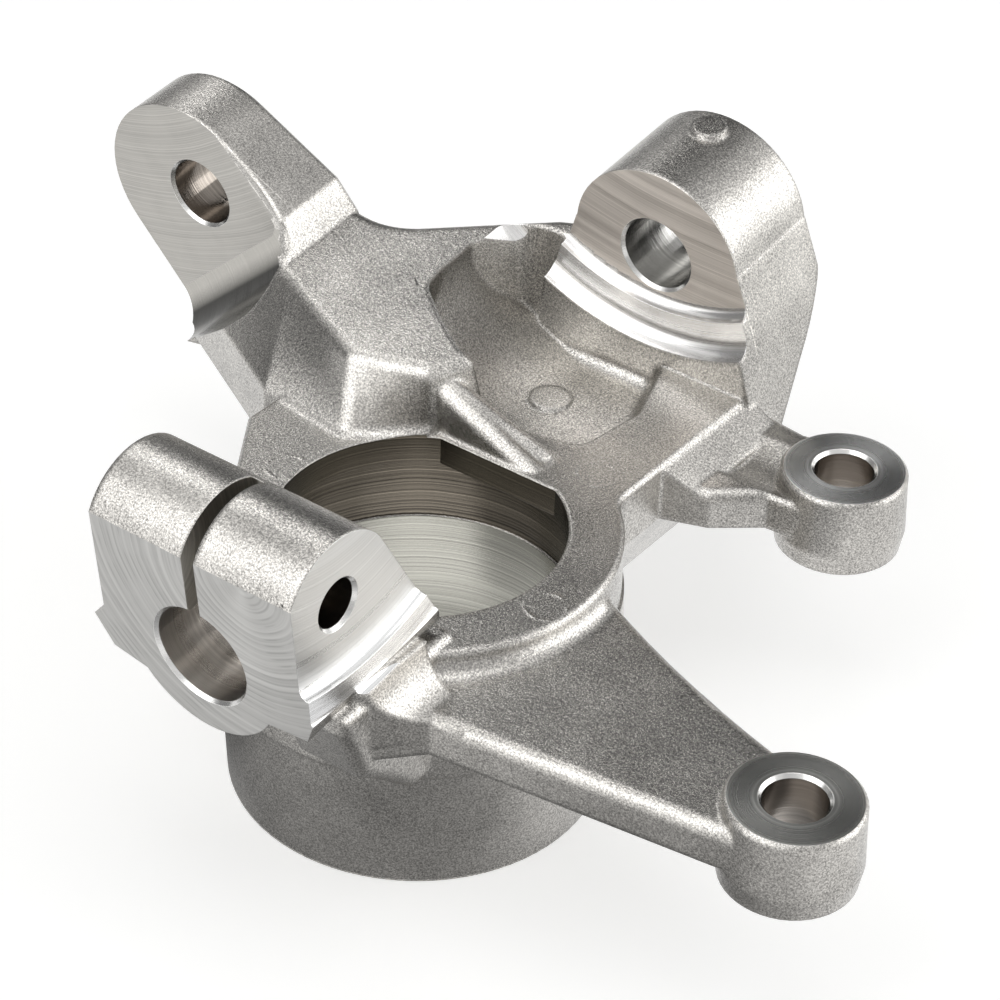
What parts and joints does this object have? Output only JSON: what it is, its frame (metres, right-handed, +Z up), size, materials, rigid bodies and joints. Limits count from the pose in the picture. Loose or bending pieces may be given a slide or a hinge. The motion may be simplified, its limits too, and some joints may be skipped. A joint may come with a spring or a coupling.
{
  "type": "steering knuckle",
  "caption": "One-piece cast aluminium steering knuckle with a bearing barrel, a split clamp, a ball joint boss, a steering arm and caliper lugs.",
  "frame": {"origin": "centre of the barrel's bottom face, on the wheel axis", "axes": "+Z up the wheel axis from the barrel to the hub, +Y along the kingpin axis towards the rear ball joint boss, +X towards the side of the caliper lugs"},
  "size_m": [0.2891, 0.2141, 0.1298],
  "materials": {
    "casting": "grit-blasted casting with bright machined faces"
  },
  "bodies": {
    "root": {"knuckle": "casting"}
  },
  "joints": []
}
